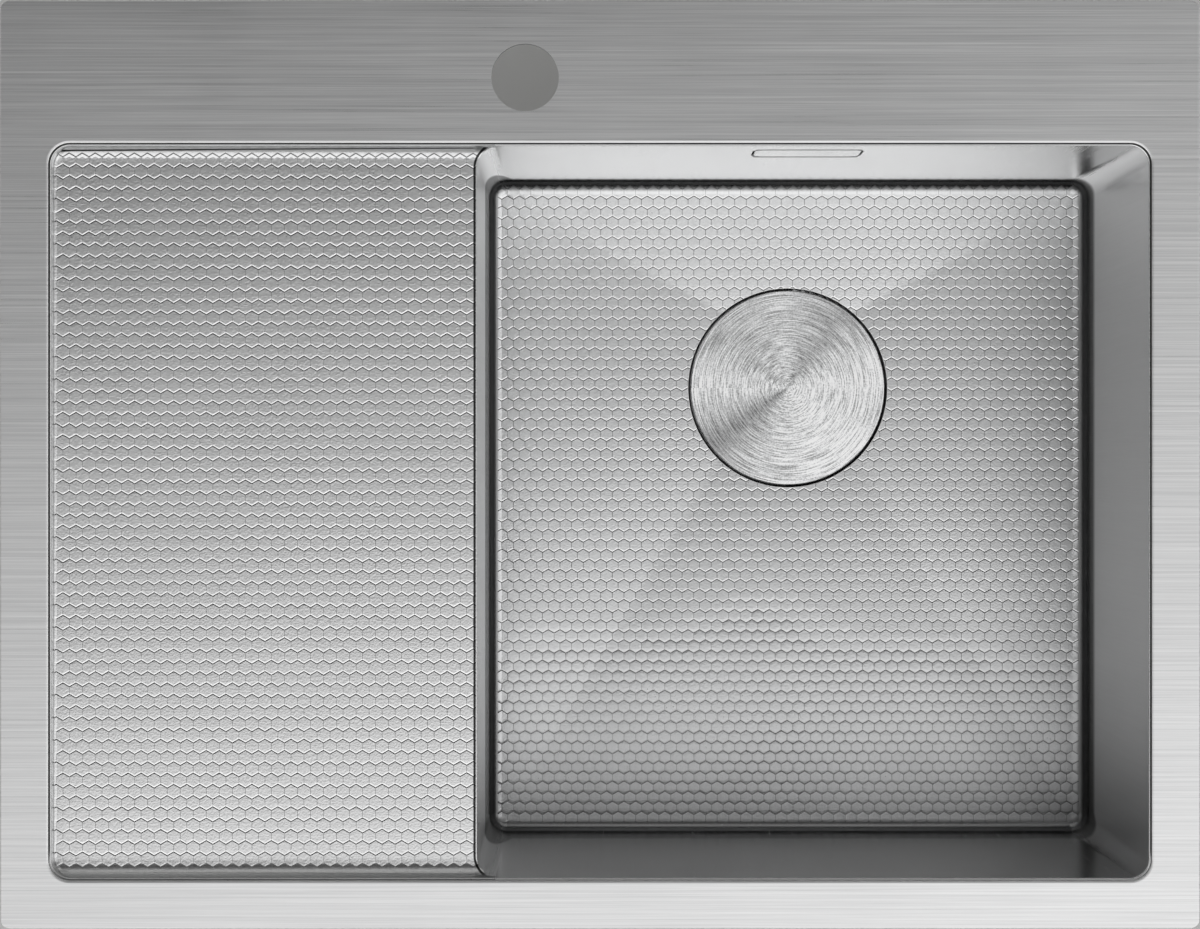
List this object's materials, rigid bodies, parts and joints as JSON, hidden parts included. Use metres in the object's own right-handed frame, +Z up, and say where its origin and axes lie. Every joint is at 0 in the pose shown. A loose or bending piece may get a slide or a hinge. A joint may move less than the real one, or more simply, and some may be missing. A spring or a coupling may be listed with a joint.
{
  "type": "kitchen sink with drainboard",
  "caption": "Inset steel kitchen sink: flat deck with tap hole, honeycomb drainboard, square bowl with lift-out drain cover and strainer basket, overflow and worktop clamps.",
  "frame": {"origin": "middle of the sink's outline, in the plane where the sealing strip rests on the worktop", "axes": "+X to the bowl's side, along the sink; +Y towards the tap ledge; +Z up"},
  "size_m": [0.62, 0.48, 0.294],
  "materials": {
    "deck_steel": "satin, brushed along its length",
    "bowl_steel": "satin, honeycomb embossed floor",
    "board_steel": "satin, honeycomb embossed",
    "cover_steel": "turned in fine rings",
    "strainer_steel": "satin, polished lip",
    "fixing_steel": "zinc plated",
    "bare_steel": "mill finish",
    "seal_foam": "closed-cell foam",
    "gasket_rubber": "matt",
    "pad_rubber": "matt bitumen pad",
    "waste_plastic": "moulded, fine grain",
    "hose_plastic": "moulded, satin"
  },
  "bodies": {
    "sink": {"deck_plate": "deck_steel", "tap_hole_stiffener": "bare_steel", "sealing_strip": "seal_foam", "bowl": "bowl_steel", "drainboard": "board_steel", "drainboard_stiffeners": "bare_steel", "sound_pads": "pad_rubber", "clip_brackets": "fixing_steel", "clip_screws": "fixing_steel", "overflow_cover": "bowl_steel", "overflow_gasket": "gasket_rubber", "overflow_housing": "waste_plastic", "overflow_studs": "fixing_steel", "overflow_nuts": "fixing_steel", "overflow_cover_screws": "fixing_steel", "overflow_hose": "hose_plastic", "hose_nuts": "waste_plastic", "hose_washers": "gasket_rubber", "strainer_gasket": "gasket_rubber", "strainer_cup": "strainer_steel", "waste_gasket": "gasket_rubber", "waste_body": "waste_plastic", "outlet_funnel": "waste_plastic", "centre_screw": "fixing_steel"},
    "strainer_basket": {"basket": "strainer_steel", "basket_seal": "gasket_rubber", "basket_post": "strainer_steel"},
    "drain_cover": {"cover_disc": "cover_steel", "cover_ring": "waste_plastic"},
    "claw_1": {"clip_claw_1": "fixing_steel"},
    "claw_2": {"clip_claw_2": "fixing_steel"},
    "claw_3": {"clip_claw_3": "fixing_steel"},
    "claw_4": {"clip_claw_4": "fixing_steel"},
    "claw_5": {"clip_claw_5": "fixing_steel"},
    "claw_6": {"clip_claw_6": "fixing_steel"}
  },
  "joints": [
    {"name": "basket_lift", "type": "slide", "parent": "sink", "child": "strainer_basket", "axis": [0, 0, 1], "range_m": [0, 0.25]},
    {"name": "cover_lift", "type": "slide", "parent": "strainer_basket", "child": "drain_cover", "axis": [0, 0, 1], "range_m": [0, 0.25]},
    {"name": "claw_1_travel", "type": "slide", "parent": "sink", "child": "claw_1", "axis": [0, 0, 1], "range_m": [-0.01, 0.01]},
    {"name": "claw_2_travel", "type": "slide", "parent": "sink", "child": "claw_2", "axis": [0, 0, 1], "range_m": [-0.01, 0.01]},
    {"name": "claw_3_travel", "type": "slide", "parent": "sink", "child": "claw_3", "axis": [0, 0, 1], "range_m": [-0.01, 0.01]},
    {"name": "claw_4_travel", "type": "slide", "parent": "sink", "child": "claw_4", "axis": [0, 0, 1], "range_m": [-0.01, 0.01]},
    {"name": "claw_5_travel", "type": "slide", "parent": "sink", "child": "claw_5", "axis": [0, 0, 1], "range_m": [-0.01, 0.01]},
    {"name": "claw_6_travel", "type": "slide", "parent": "sink", "child": "claw_6", "axis": [0, 0, 1], "range_m": [-0.01, 0.01]}
  ]
}
